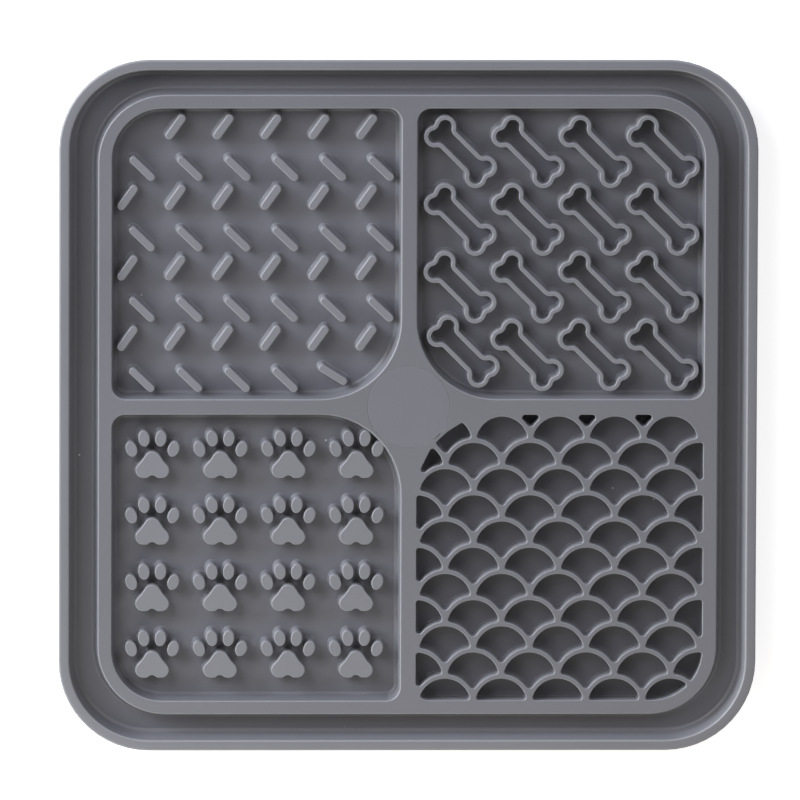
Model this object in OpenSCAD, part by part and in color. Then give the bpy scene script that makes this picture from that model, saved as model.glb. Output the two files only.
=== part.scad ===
// Square lick mat for pets, moulded in silicone: a thin floor with a raised rim, a gutter, and a walled
// field that two ribs divide into four wells, each with its own texture. Small suction cups hold it down.
// The mat lies flat, centred on the origin, with the cups' lips on z = 0. +X is right, +Y is the far side.

/* [Mat] */
// Length of the mat from left to right
mat_length = 200; // [190:1:240]
// Width of the mat from near side to far side
mat_width = 200; // [190:0.1:240]
// Radius of the mat's outer corners
mat_corner_r = 26; // [22:0.5:32]
// Thickness of the floor sheet
sheet_t = 1.6; // [1:0.1:3]

/* [Rim and gutter] */
// Height of the outer rim above the floor sheet
rim_h = 8; // [6.5:0.1:12]
// Width of the rim's top, over its rounded edges
rim_w = 3.1; // [2.4:0.1:5]
// How much wider the rim's inner side stands at the floor than at its top
rim_lean = 1.2; // [0.2:0.1:2]
// How far the mat's outer side draws in from the rim's top down to the floor sheet
rim_flare = 1.3; // [0.2:0.1:1.6]
// Radius of the rim's rounded top edges
rim_edge_r = 0.8; // [0.2:0.1:1.1]
// Width of the gutter at the left and right sides
gutter_side_w = 8.1; // [6:0.1:12]
// Width of the gutter at the near and far sides
gutter_end_w = 7.15; // [6:0.05:12]

/* [Frame and ribs] */
// Height of the frame and ribs above the floor sheet
wall_h = 6.5; // [5.6:0.1:9]
// Width of the frame's flat top
frame_w = 4.05; // [3:0.05:6]
// Radius of the frame's outer corners
frame_corner_r = 19.5; // [16:0.5:24]
// How far a frame or rib wall leans out between its top and the floor
wall_lean = 0.9; // [0.2:0.1:1.5]
// Radius of each well's corner at the frame's corner
well_corner_r = 14.6; // [10:0.2:18]
// Radius of each well's corners where a rib meets the frame
well_small_r = 3.95; // [2:0.05:6]
// Radius of each well's corner at the middle of the mat
well_hub_r = 23; // [18:0.5:27]
// Width of the two ribs' flat tops
rib_w = 4.6; // [3:0.1:7]
// How far the rib between left and right wells stands right of the centre
rib_shift_x = 0.25; // [-2:0.05:2]
// How far the rib between near and far wells stands beyond the centre
rib_shift_y = -0.5; // [-2:0.05:2]

/* [Centre plate] */
// Radius of the bare round plate at the middle
plate_r = 11.8; // [8:0.1:13]
// Thickness of the round plate, let into the ribs flush with their tops
plate_t = 0.5; // [0.3:0.1:1]
// Fine line left around the round plate
plate_gap = 0.1; // [0.05:0.05:0.3]

/* [Slanted bars] */
// Height of the bars above the floor sheet
bar_h = 5; // [3:0.1:6]
// Lean of the bars' side walls
bar_lean = 0.3; // [0.1:0.05:0.5]
// Spacing of the bars along a row
bar_pitch_x = 13.68; // [12.5:0.01:14]
// Spacing of rows that lean the same way
bar_pitch_y = 20.36; // [18.5:0.01:20.6]
// Length of a right-leaning bar over its round ends
right_bar_length = 8.3; // [6:0.1:9]
// Width of a right-leaning bar at its top
right_bar_w = 2.3; // [1.5:0.1:2.6]
// Angle of a right-leaning bar from the row
right_bar_angle = 54.6; // [45:0.2:65]
// Length of a left-leaning bar over its round ends
left_bar_length = 9.2; // [6:0.1:10]
// Width of a left-leaning bar at its top
left_bar_w = 2.15; // [1.5:0.05:2.6]
// Angle of a left-leaning bar from the row
left_bar_angle = 136; // [125:1:145]
// First right-leaning bar: its distance from the well's left wall
right_bar_inset_x = 4.44; // [4.2:0.02:6]
// First right-leaning row: its distance from the well's far wall
right_bar_inset_y = 5.52; // [4.8:0.01:7]
// First left-leaning bar: its distance from the well's left wall
left_bar_inset_x = 8.6; // [6:0.05:10]
// First left-leaning row: its distance from the well's far wall
left_bar_inset_y = 17.54; // [15:0.01:19]
// Angle of the one bar that is turned to clear the middle of the mat
turned_bar_angle = 148; // [136:1:155]
// How far that bar is moved towards the far side
turned_bar_shift = 1.5; // [0:0.1:3]

/* [Bones] */
// Height of the bones above the floor sheet
bone_h = 5.5; // [3:0.1:6]
// Distance between the two heads of a bone
bone_length = 16.6; // [12:0.1:17]
// Radius of each lobe of a bone's head
bone_lobe_r = 3.1; // [2.6:0.1:3.4]
// Distance between the two lobes of a head
bone_lobe_gap = 4.2; // [3.6:0.1:4.6]
// Width of a bone's shaft
bone_shaft_w = 6.5; // [5:0.1:7]
// Thickness of the wall that draws the bone, at its top
bone_wall = 1.2; // [0.9:0.1:1.4]
// Lean of the bone's walls
bone_lean = 0.25; // [0.1:0.05:0.4]
// Spacing of the bones from left to right
bone_pitch_x = 19.34; // [19:0.02:19.8]
// Spacing of the bones from far to near
bone_pitch_y = 19.57; // [19.2:0.01:20]
// First bone: its distance from the well's left wall
bone_inset_x = 12.33; // [12:0.01:13]
// First bone: its distance from the well's far wall
bone_inset_y = 12.62; // [12:0.01:13]
// Angle of every bone from the row
bone_angle = -45; // [-50:1:-40]
// How far the bone nearest the middle of the mat is moved clear of it
bone_shift = 1; // [0.5:0.1:1.2]

/* [Paws] */
// Height of the paws above the floor sheet
paw_h = 5.5; // [3:0.1:6]
// Lean of the paws' side walls
paw_lean = 0.25; // [0.1:0.05:0.4]
// Width of a paw's pad
pad_w = 9.6; // [8:0.02:11]
// Length of a paw's pad
pad_length = 7.68; // [6:0.02:9]
// Radius of the two lobes at the pad's heel
pad_lobe_r = 2.2; // [1.6:0.1:2.4]
// Radius of the pad's tip between the toes
pad_tip_r = 2.4; // [1.2:0.05:2.6]
// Depth of the dent in the pad's heel
pad_dent_depth = 0.75; // [0.3:0.05:1.2]
// Radius of that dent
pad_dent_r = 2.3; // [1.6:0.1:3]
// Length of a toe
toe_length = 4.6; // [3.6:0.1:5]
// Width of a toe
toe_w = 3.2; // [2.6:0.1:3.4]
// Spacing of the paws from left to right
paw_pitch_x = 19.51; // [18:0.01:19.8]
// Spacing of the paws from far to near
paw_pitch_y = 19.32; // [18.5:0.01:19.5]
// First paw: distance of its pad's middle from the well's left wall
paw_inset_x = 11.66; // [9.5:0.01:13]
// First paw: distance of its pad's middle from the well's far wall
paw_inset_y = 14.92; // [12.5:0.01:15.5]

/* [Fish scales] */
// Inner radius of a scale's arc
scale_r = 7.5; // [7.2:0.05:7.6]
// Thickness of the arcs
scale_wall = 1.3; // [1:0.05:1.5]
// Spacing of the scales along a row
scale_pitch_x = 16.2; // [15.8:0.02:16.6]
// Spacing of the staggered rows
scale_pitch_y = 7.61; // [7.3:0.01:7.7]
// First whole scale: distance of its middle from the well's left wall
scale_inset_x = 8.35; // [8:0.05:9]
// First row: distance of its inner crown from the well's far wall
scale_inset_y = 0.5; // [0.3:0.02:0.9]

/* [Suction cups] */
// Height of the cups below the floor sheet
cup_h = 2.5; // [2:0.1:4]
// Radius of a cup's lip
cup_r = 6.5; // [5:0.1:8]
// Radius of the neck that joins a cup to the sheet
cup_neck_r = 3; // [2:0.1:4]
// Height of that neck
cup_neck_h = 0.5; // [0.2:0.1:1]
// Thickness of the lip's outer edge
cup_lip_t = 0.4; // [0.2:0.1:0.8]
// Width of the flat ring that seals on the surface below
cup_seal_w = 0.6; // [0.3:0.1:1]
// Depth of the hollow inside the lip
cup_hollow_h = 1.2; // [0.6:0.1:1.4]
// Distance of the outermost cups' middles from the mat's edge
cup_margin = 22; // [16:0.5:30]

/* [Hidden] */
$fn = 96;

// Counts that no size sets
cups_across = 6;
cups_deep = 6;
edge_steps = 4;
blend_facets = 32;

// Overrun of every cut past the faces that it goes through
cut_over = 1;

// Levels
floor_z = cup_h + sheet_t;
plate_z = floor_z + wall_h - plate_t;

// Frame, measured at its top
frame_length = mat_length - 2 * (rim_w + gutter_side_w);
frame_width = mat_width - 2 * (rim_w + gutter_end_w);
inner_x = frame_length / 2 - frame_w;
inner_y = frame_width / 2 - frame_w;

// Edges of the four wells, measured at their tops
left_well_x = rib_shift_x - rib_w / 2;
right_well_x = rib_shift_x + rib_w / 2;
near_well_y = rib_shift_y - rib_w / 2;
far_well_y = rib_shift_y + rib_w / 2;

// Spans of the wells: across the left and right ones, and from far to near in the far and near ones
left_span = left_well_x + inner_x;
right_span = inner_x - right_well_x;
far_span = inner_y - far_well_y;
near_span = near_well_y + inner_y;

// How many stand in a span: the first inset from its start, the last at least reach from its end
function count_along(span, inset, pitch, reach) = floor((span - inset - reach) / pitch) + 1;

// Bars: the radius of a round end at the floor with the wall's lean, and half the run between the ends
right_end_r = right_bar_w / 2 + bar_lean + wall_lean;
left_end_r = left_bar_w / 2 + bar_lean + wall_lean;
right_half_run = (right_bar_length - right_bar_w) / 2;
left_half_run = (left_bar_length - left_bar_w) / 2;
right_bar_columns = count_along(left_span, right_bar_inset_x, bar_pitch_x,
    right_half_run * cos(right_bar_angle) + right_end_r);
left_bar_columns = count_along(left_span, left_bar_inset_x, bar_pitch_x,
    -left_half_run * cos(left_bar_angle) + left_end_r);
right_bar_rows = count_along(far_span, right_bar_inset_y, bar_pitch_y,
    right_half_run * sin(right_bar_angle) + right_end_r);
left_bar_rows = count_along(far_span, left_bar_inset_y, bar_pitch_y,
    left_half_run * sin(left_bar_angle) + left_end_r);
bar_rows = right_bar_rows + left_bar_rows;

// Bones: how far one reaches from its middle along X and along Y, with the walls' lean
bone_half = [bone_length / 2, bone_lobe_gap / 2];
bone_foot_r = bone_lobe_r + bone_lean + wall_lean;
bone_reach_x = bone_half[0] * cos(bone_angle) - bone_half[1] * sin(bone_angle) + bone_foot_r;
bone_reach_y = bone_half[1] * cos(bone_angle) - bone_half[0] * sin(bone_angle) + bone_foot_r;
bones_across = count_along(right_span, bone_inset_x, bone_pitch_x, bone_reach_x);
bones_deep = count_along(far_span, bone_inset_y, bone_pitch_y, bone_reach_y);

// Paw: places measured from the middle of the pad, with the toes towards +Y
pad_heel_share = -0.459;
pad_heel_y = pad_heel_share * pad_length;
pad_lobe_x = pad_w / 2 - pad_lobe_r;
pad_lobe_y = pad_heel_y + pad_lobe_r;
pad_tip_y = pad_heel_y + pad_length - pad_tip_r;

// Each toe: place as shares of the pad's width and length, and its tilt
toe_place_shares = [[-0.628, 0.635], [-0.25, 1.03], [0.25, 1.03], [0.628, 0.635]];
toe_tilts = [18, 8, -8, -18];
paw_reach_x = toe_place_shares[3][0] * pad_w + toe_length / 2 + paw_lean + wall_lean;
paw_reach_y = -pad_heel_y + paw_lean + wall_lean;
paws_across = count_along(left_span, paw_inset_x, paw_pitch_x, paw_reach_x);
paws_deep = count_along(near_span, paw_inset_y, paw_pitch_y, paw_reach_y);

// Fish scales: depth below its inner crown at which a ring's outer edge meets its neighbours'
scale_join = scale_r - sqrt(pow(scale_r + scale_wall, 2) - pow(scale_pitch_x / 2, 2));
scale_rows = count_along(near_span, scale_inset_y, scale_pitch_y, scale_join + wall_lean + scale_wall / 2);

function two_digits(n) = n < 10 ? str("0", n) : str(n);
function numbered(name, count) = [for (i = [1:count]) str(name, "_", two_digits(i))];

// A flat rectangle with round corners, centred
module rounded_rectangle(length, width, corner_r) {
    square([length, width - 2 * corner_r], center = true);
    square([length - 2 * corner_r, width], center = true);
    for (x = [-1, 1], y = [-1, 1])
        translate([x * (length / 2 - corner_r), y * (width / 2 - corner_r)])
            circle(r = corner_r);
}

// A profile carried round a rectangle with round corners. The profile's x runs inwards from the outer edge.
module edge_ring(length, width, corner_r, profile) {
    for (side = [0:3]) {
        out = side % 2 == 0 ? length / 2 : width / 2;
        along = side % 2 == 0 ? width / 2 : length / 2;
        rotate([0, 0, 90 * side]) {
            translate([out, along - corner_r, 0])
                rotate([90, 0, 0])
                    linear_extrude(2 * (along - corner_r))
                        polygon([for (p = profile) [-p[0], p[1]]]);
            translate([out - corner_r, along - corner_r, 0])
                rotate_extrude(angle = 90)
                    polygon([for (p = profile) [corner_r - p[0], p[1]]]);
        }
    }
}

// A block whose walls lean: x_span and y_span are its top edges, and each wall stands lean further out at
// the bottom. Radii are those of the corners +X+Y, -X+Y, -X-Y and +X-Y. Over is how far it runs past both
// ends.
module leaning_block(x_span, y_span, low, height, lean, radii, over = 0) {
    half_x = (x_span[1] - x_span[0]) / 2;
    half_y = (y_span[1] - y_span[0]) / 2;
    bottom_out = lean * (1 + over / height);
    top_out = -lean * over / height;
    bottom_z = low - over;
    top_z = low + height + over;
    translate([x_span[0] + half_x, y_span[0] + half_y, 0])
        for (side = [0:3]) {
            out = side % 2 == 0 ? half_x : half_y;
            along = side % 2 == 0 ? half_y : half_x;
            r = radii[side];
            before_r = radii[(side + 3) % 4];
            rotate([0, 0, 90 * side]) {
                translate([0, along - r, 0])
                    rotate([90, 0, 0])
                        linear_extrude(2 * along - r - before_r)
                            polygon([[0, bottom_z], [out + bottom_out, bottom_z], [out + top_out, top_z],
                                [0, top_z]]);
                translate([out - r, along - r, 0])
                    rotate_extrude(angle = 90)
                        polygon([[0, bottom_z], [r + bottom_out, bottom_z], [r + top_out, top_z],
                            [0, top_z]]);
            }
        }
}

// The hollow of one well. side_x and side_y are -1 or 1 and say which of the four it is.
module well_hollow(side_x, side_y) {
    x_span = side_x < 0 ? [-inner_x, left_well_x] : [right_well_x, inner_x];
    y_span = side_y < 0 ? [-inner_y, near_well_y] : [far_well_y, inner_y];
    outer_corner = side_x > 0 ? (side_y > 0 ? 0 : 3) : (side_y > 0 ? 1 : 2);
    radii = [for (i = [0:3])
        i == outer_corner ? well_corner_r : i == (outer_corner + 2) % 4 ? well_hub_r : well_small_r];
    leaning_block(x_span, y_span, floor_z, wall_h, -wall_lean, radii, cut_over);
}

module all_well_hollows() {
    for (x = [-1, 1], y = [-1, 1])
        well_hollow(x, y);
}

// The upright region that the cross fills, out to the frame's inner edge. It ends inside the small
// corners, where they are thick, and runs past the large ones.
module cross_region(low, height) {
    arm_half = rib_w / 2 + (wall_lean + well_small_r) / 2;
    hub_half = rib_w / 2 + well_hub_r + wall_lean;
    translate([rib_shift_x - arm_half, -inner_y, low])
        cube([2 * arm_half, 2 * inner_y, height]);
    translate([-inner_x, rib_shift_y - arm_half, low])
        cube([2 * inner_x, 2 * arm_half, height]);
    translate([rib_shift_x - hub_half, rib_shift_y - hub_half, low])
        cube([2 * hub_half, 2 * hub_half, height]);
}

module base_sheet() {
    color([0.36, 0.36, 0.385])
        translate([0, 0, cup_h])
            linear_extrude(sheet_t)
                rounded_rectangle(mat_length - 2 * rim_flare, mat_width - 2 * rim_flare,
                    mat_corner_r - rim_flare);
}

module outer_rim() {
    outer_arc = [for (i = [0:edge_steps])
        let (a = 180 - 90 * i / edge_steps)
        [rim_edge_r * (1 + cos(a)), rim_h - rim_edge_r * (1 - sin(a))]];
    inner_arc = [for (i = [0:edge_steps])
        let (a = 90 - 90 * i / edge_steps)
        [rim_w - rim_edge_r * (1 - cos(a)), rim_h - rim_edge_r * (1 - sin(a))]];
    profile = concat([[rim_flare, 0]], outer_arc, inner_arc, [[rim_w + rim_lean, 0]]);
    color([0.48, 0.48, 0.5])
        translate([0, 0, floor_z])
            edge_ring(mat_length, mat_width, mat_corner_r, profile);
}

module pocket_frame() {
    color([0.47, 0.47, 0.495])
        difference() {
            leaning_block([-frame_length / 2, frame_length / 2], [-frame_width / 2, frame_width / 2],
                floor_z, wall_h, wall_lean, [for (i = [0:3]) frame_corner_r]);
            all_well_hollows();
            cross_region(floor_z - cut_over, wall_h + 2 * cut_over);
        }
}

module dividing_cross() {
    color([0.46, 0.46, 0.485])
        difference() {
            cross_region(floor_z, wall_h);
            all_well_hollows();
            translate([rib_shift_x, rib_shift_y, plate_z])
                cylinder(r = plate_r + plate_gap, h = plate_t + cut_over);
        }
}

module centre_plate() {
    color([0.48, 0.48, 0.505])
        translate([rib_shift_x, rib_shift_y, plate_z])
            cylinder(r = plate_r, h = plate_t);
}

// One bar with round ends and leaning sides, along X, centred, standing on z = 0
module slanted_bar(length, width) {
    run = length - width;
    translate([-run / 2, 0, 0])
        rotate([90, 0, 90])
            linear_extrude(run)
                polygon([[-width / 2 - bar_lean, 0], [width / 2 + bar_lean, 0], [width / 2, bar_h],
                    [-width / 2, bar_h]]);
    for (turn = [0, 180])
        rotate([0, 0, turn])
            translate([run / 2, 0, 0])
                rotate([0, 0, -90])
                    rotate_extrude(angle = 180)
                        polygon([[0, 0], [width / 2 + bar_lean, 0], [width / 2, bar_h], [0, bar_h]]);
}

// True if a bar's round end of radius end_r, with its middle at x, y, is clear of the well's large corners
function end_is_clear(x, y, end_r) =
    let (
        corner_x = well_corner_r - inner_x,
        corner_y = inner_y - well_corner_r,
        hub_x = left_well_x - well_hub_r,
        hub_y = far_well_y + well_hub_r
    )
    (x > corner_x || y < corner_y || norm([x - corner_x, y - corner_y]) < well_corner_r - end_r)
    && (x < hub_x || y > hub_y || norm([x - hub_x, y - hub_y]) < well_hub_r - end_r);

// True if both ends of a bar are clear. A place is the bar's middle and its angle.
function bar_is_clear(place, half_run, end_r) =
    let (run_x = half_run * cos(place[2]), run_y = half_run * sin(place[2]))
    end_is_clear(place[0] + run_x, place[1] + run_y, end_r)
    && end_is_clear(place[0] - run_x, place[1] - run_y, end_r);

// Places of the right-leaning bars in one row: a bar that a large corner would touch is left out
function right_bar_places(y) = [
    for (column = [0:right_bar_columns - 1])
        let (place = [-inner_x + right_bar_inset_x + bar_pitch_x * column, y, right_bar_angle])
        if (bar_is_clear(place, right_half_run, right_end_r)) place
];

// The same for the left-leaning bars, where a bar that has room if it is turned and moved is kept so
function left_bar_places(y) = [
    for (column = [0:left_bar_columns - 1])
        let (
            x = -inner_x + left_bar_inset_x + bar_pitch_x * column,
            place = [x, y, left_bar_angle],
            turned = [x, y + turned_bar_shift, turned_bar_angle],
            best = bar_is_clear(place, left_half_run, left_end_r) ? place : turned
        )
        if (bar_is_clear(best, left_half_run, left_end_r)) best
];

// Rows are counted from the far wall. Odd rows lean right and even rows lean left.
module bar_row(row) {
    leans_right = row % 2 == 1;
    inset_y = leans_right ? right_bar_inset_y : left_bar_inset_y;
    y = inner_y - inset_y - bar_pitch_y * floor((row - 1) / 2);
    places = leans_right ? right_bar_places(y) : left_bar_places(y);
    color([0.5, 0.5, 0.525])
        for (place = places)
            translate([place[0], place[1], floor_z])
                rotate([0, 0, place[2]])
                    if (leans_right)
                        slanted_bar(right_bar_length, right_bar_w);
                    else
                        slanted_bar(left_bar_length, left_bar_w);
}

// A solid bone along X: inset draws it smaller all round, and lean widens it downwards
module bone_shape(inset, lean, low, height) {
    r = bone_lobe_r - inset;
    shaft_half = bone_shaft_w / 2 - inset;
    // Between the lobes the wall keeps its thickness, so the inner shaft runs on past the lobes' middles
    cleft = sqrt(pow(bone_lobe_r, 2) - pow(bone_lobe_gap / 2, 2));
    run = inset > 0 ? bone_length + 2 * (cleft - inset) : bone_length;
    for (x = [-1, 1], y = [-1, 1])
        translate([x * bone_length / 2, y * bone_lobe_gap / 2, low])
            cylinder(r1 = r + lean, r2 = r, h = height);
    translate([-run / 2, 0, low])
        rotate([90, 0, 90])
            linear_extrude(run)
                polygon([[-shaft_half - lean, 0], [shaft_half + lean, 0], [shaft_half, height],
                    [-shaft_half, height]]);
}

// Bones are counted along each row from the left, and rows from the far wall
module bone(number) {
    column = (number - 1) % bones_across;
    row = floor((number - 1) / bones_across);
    at_middle = column == 0 && row == bones_deep - 1;
    shift = at_middle ? bone_shift : 0;
    over_lean = bone_lean * cut_over / bone_h;
    color([0.5, 0.5, 0.525])
        translate([right_well_x + bone_inset_x + bone_pitch_x * column + shift,
                inner_y - bone_inset_y - bone_pitch_y * row + shift, floor_z])
            rotate([0, 0, bone_angle])
                difference() {
                    bone_shape(0, bone_lean, 0, bone_h);
                    bone_shape(bone_wall - over_lean, -bone_lean - 2 * over_lean, -cut_over,
                        bone_h + 2 * cut_over);
                }
}

module paw_pad() {
    difference() {
        hull() {
            for (x = [-1, 1])
                translate([x * pad_lobe_x, pad_lobe_y, 0])
                    cylinder(r1 = pad_lobe_r + paw_lean, r2 = pad_lobe_r, h = paw_h, $fn = blend_facets);
            translate([0, pad_tip_y, 0])
                cylinder(r1 = pad_tip_r + paw_lean, r2 = pad_tip_r, h = paw_h, $fn = blend_facets);
        }
        translate([0, pad_heel_y + pad_dent_depth - pad_dent_r, -cut_over])
            cylinder(r = pad_dent_r, h = paw_h + 2 * cut_over);
    }
}

module paw_toe() {
    scale([toe_w / toe_length, 1, 1])
        cylinder(r1 = toe_length / 2 + paw_lean, r2 = toe_length / 2, h = paw_h);
}

// Paws are counted along each row from the left, and rows from the far wall. Near the middle of the mat
// the toes run into the wall.
module paw(number) {
    column = (number - 1) % paws_across;
    row = floor((number - 1) / paws_across);
    color([0.49, 0.49, 0.515])
        intersection() {
            well_hollow(-1, -1);
            translate([-inner_x + paw_inset_x + paw_pitch_x * column,
                    near_well_y - paw_inset_y - paw_pitch_y * row, floor_z]) {
                paw_pad();
                for (i = [0:3])
                    translate([toe_place_shares[i][0] * pad_w, toe_place_shares[i][1] * pad_length, 0])
                        rotate([0, 0, toe_tilts[i]])
                            paw_toe();
            }
        }
}

// Middles of the scales in one row: whole scales in odd rows, shifted half a step in even rows
function scale_middles(row) =
    let (
        shift = row % 2 == 1 ? 0 : scale_pitch_x / 2,
        first_x = right_well_x + scale_inset_x - shift,
        count = ceil((inner_x - first_x) / scale_pitch_x),
        y = near_well_y - scale_inset_y - scale_r - scale_pitch_y * (row - 1)
    )
    [for (i = [-1:count]) [first_x + scale_pitch_x * i, y]];

// Rows are counted from the rib. Each row's arcs stand on the crowns of the next, and the last row's run
// into the near wall.
module scale_row(row) {
    crowns_below = row < scale_rows ? scale_middles(row + 1) : [];
    color([0.47, 0.47, 0.495])
        intersection() {
            well_hollow(1, -1);
            translate([0, 0, floor_z])
                linear_extrude(wall_h)
                    difference() {
                        for (middle = scale_middles(row))
                            translate(middle)
                                circle(r = scale_r + scale_wall);
                        for (middle = scale_middles(row))
                            translate(middle)
                                circle(r = scale_r);
                        for (middle = crowns_below)
                            translate(middle)
                                circle(r = scale_r + scale_wall);
                    }
        }
}

module suction_cup() {
    rotate_extrude()
        polygon([
            [0, cup_hollow_h],
            [cup_r - cup_seal_w, 0],
            [cup_r, 0],
            [cup_r, cup_lip_t],
            [cup_neck_r, cup_h - cup_neck_h],
            [cup_neck_r, cup_h],
            [0, cup_h]
        ]);
}

module suction_cups() {
    step_x = (mat_length - 2 * cup_margin) / (cups_across - 1);
    step_y = (mat_width - 2 * cup_margin) / (cups_deep - 1);
    first_x = cup_margin - mat_length / 2;
    first_y = cup_margin - mat_width / 2;
    color([0.42, 0.42, 0.445])
        for (i = [0:cups_across - 1], j = [0:cups_deep - 1])
            translate([first_x + step_x * i, first_y + step_y * j, 0])
                suction_cup();
}

base_sheet();
outer_rim();
pocket_frame();
dividing_cross();
centre_plate();
for (i = [1:bar_rows])
    bar_row(i);
for (i = [1:bones_across * bones_deep])
    bone(i);
for (i = [1:paws_across * paws_deep])
    paw(i);
for (i = [1:scale_rows])
    scale_row(i);
suction_cups();
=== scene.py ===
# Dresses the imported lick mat: a square silicone mat with a rim, a gutter and four textured wells, held
# down by suction cups. Lengths are in metres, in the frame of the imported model.
import math

import bmesh
import bpy
from mathutils import Matrix, Vector


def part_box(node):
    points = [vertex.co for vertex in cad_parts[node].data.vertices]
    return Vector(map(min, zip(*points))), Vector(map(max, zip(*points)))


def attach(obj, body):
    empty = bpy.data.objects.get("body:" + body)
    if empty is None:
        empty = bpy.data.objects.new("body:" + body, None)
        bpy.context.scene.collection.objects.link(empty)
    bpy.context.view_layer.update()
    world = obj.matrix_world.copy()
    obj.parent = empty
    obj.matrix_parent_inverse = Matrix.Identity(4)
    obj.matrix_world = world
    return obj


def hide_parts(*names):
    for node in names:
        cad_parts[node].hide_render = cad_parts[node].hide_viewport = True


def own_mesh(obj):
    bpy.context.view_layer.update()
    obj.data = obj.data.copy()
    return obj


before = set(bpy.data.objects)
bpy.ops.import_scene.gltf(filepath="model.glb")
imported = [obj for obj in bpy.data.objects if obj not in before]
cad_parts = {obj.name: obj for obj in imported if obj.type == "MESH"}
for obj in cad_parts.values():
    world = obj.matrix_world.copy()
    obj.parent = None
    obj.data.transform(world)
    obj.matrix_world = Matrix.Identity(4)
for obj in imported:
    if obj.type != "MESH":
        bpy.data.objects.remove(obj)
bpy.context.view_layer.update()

MM = 0.001

# Levels and overall sizes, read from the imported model
mat_half = Vector(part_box("outer_rim")[1])
rim_top = mat_half.z
sheet_low, floor_z = (corner.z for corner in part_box("base_sheet"))
frame_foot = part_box("pocket_frame")[1]
wall_top = frame_foot.z
plate_low, plate_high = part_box("centre_plate")
plate_middle = (plate_low + plate_high) / 2

# Mat and rim
mat_corner_r = 26 * MM
sheet_edge_r = 0.4 * MM
rim_w = 3.1 * MM
rim_lean = 1.2 * MM
rim_flare = mat_half.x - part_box("base_sheet")[1].x
rim_edge_r = 0.6 * MM
rim_foot_r = 1.2 * MM

# Frame, ribs and wells
frame_w = 4.05 * MM
frame_corner_r = 19.5 * MM
wall_lean = 0.9 * MM
wall_edge_r = 0.42 * MM
wall_foot_r = 0.9 * MM
# Band under each top edge that gets the painted highlight
highlight_band_top = 0.001 * MM
highlight_band_bottom = 0.35 * MM
rib_w = 4.6 * MM
well_corner_r = 14.6 * MM
well_small_r = 3.95 * MM
well_hub_r = 23 * MM

# Centre plate
plate_gap = 0.01 * MM
plate_edge_r = 0.1 * MM

# Slanted bars
bar_lean = 0.3 * MM
bar_edge_r = 0.28 * MM
bar_foot_r = 0.35 * MM
bar_pitch_x = 13.68 * MM
bar_columns = 6
right_bar_rows = (1, 3, 5, 7)
left_bar_rows = (2, 4, 6, 8)
right_bar = {"length": 8.3 * MM, "width": 2.3 * MM, "angle": math.radians(54.6)}
left_bar = {"length": 9.2 * MM, "width": 2.15 * MM, "angle": math.radians(136)}
turned_bar_number = 22
turned_bar_angle = math.radians(148)
turned_bar_shift = 1.5 * MM

# Bones
bones_across = 4
bone_half_length = 8.3 * MM
bone_lobe_r = 3.1 * MM
bone_half_gap = 2.1 * MM
bone_half_shaft = 3.25 * MM
bone_neck_r = 1.3 * MM
bone_cleft_r = 1.1 * MM
bone_wall = 1.2 * MM
bone_lean = 0.25 * MM
bone_edge_r = 0.2 * MM
bone_foot_r = 0.35 * MM
bone_turn = math.radians(-45)
shifted_bone_number = 12
bone_shift = 1 * MM

# Paws
paws_across = 4
pad_w = 9.6 * MM
pad_length = 7.68 * MM
pad_heel_share = -0.459
pad_lobe_r = 2.2 * MM
pad_tip_r = 2.4 * MM
pad_side_r = 12 * MM
pad_dent_depth = 0.75 * MM
pad_dent_r = 1.5 * MM
pad_dent_lip_r = 0.9 * MM
pad_dent_lip_x = 1.75 * MM
paw_lean = 0.25 * MM
paw_edge_r = 0.22 * MM
paw_foot_r = 0.35 * MM
toe_half = (1.6 * MM, 2.3 * MM)
toe_place_shares = [(-0.628, 0.635), (-0.25, 1.03), (0.25, 1.03), (0.628, 0.635)]
toe_tilts = [18, 8, -8, -18]

# Fish scales
scale_r = 7.5 * MM
scale_wall = 1.3 * MM
scale_pitch_x = 16.2 * MM
scale_inset_x = 8.35 * MM
scale_rows = 11
scale_columns = range(-1, 7)
scale_band = 1 * MM
scale_lean = 0.15 * MM
scale_edge_r = 0.22 * MM
scale_foot_r = 0.3 * MM
scale_horn_r = 0.85 * MM
scale_cusp_r = 1.15 * MM
scale_wall_corner_r = 0.9 * MM
scale_small_corner_r = 0.5 * MM
rib_triangle_drop = 1 * MM
rib_triangle_reach = 4 * MM
smallest_cell = 10 * MM * MM

# Suction cups
cups_across = 6
cup_r = 6.5 * MM
cup_neck_r = 3 * MM
cup_neck_h = 0.5 * MM
cup_fillet_r = 1.2 * MM
cup_fillet_rise = 0.4 * MM
cup_lip_t = 0.4 * MM
cup_seal_w = 0.6 * MM
cup_hollow_h = 1.2 * MM

# Fineness of the meshes
turn_step = math.radians(7)
cell_turn_step = math.radians(10)
edge_steps = 5
small_edge_steps = 4
hollow_steps = 8
flat_step = 3
plate_sides = 96
cup_sides = 40
toe_sides = 32

# Search for the hollows between scales
search_steps = 12
search_rays = 720
far_away = 300.0
longest_sweep = math.radians(270)

# Slack for rounding
area_slack = 1e-12
angle_slack = 1e-6
length_slack = 1e-9


# Outlines

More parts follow.
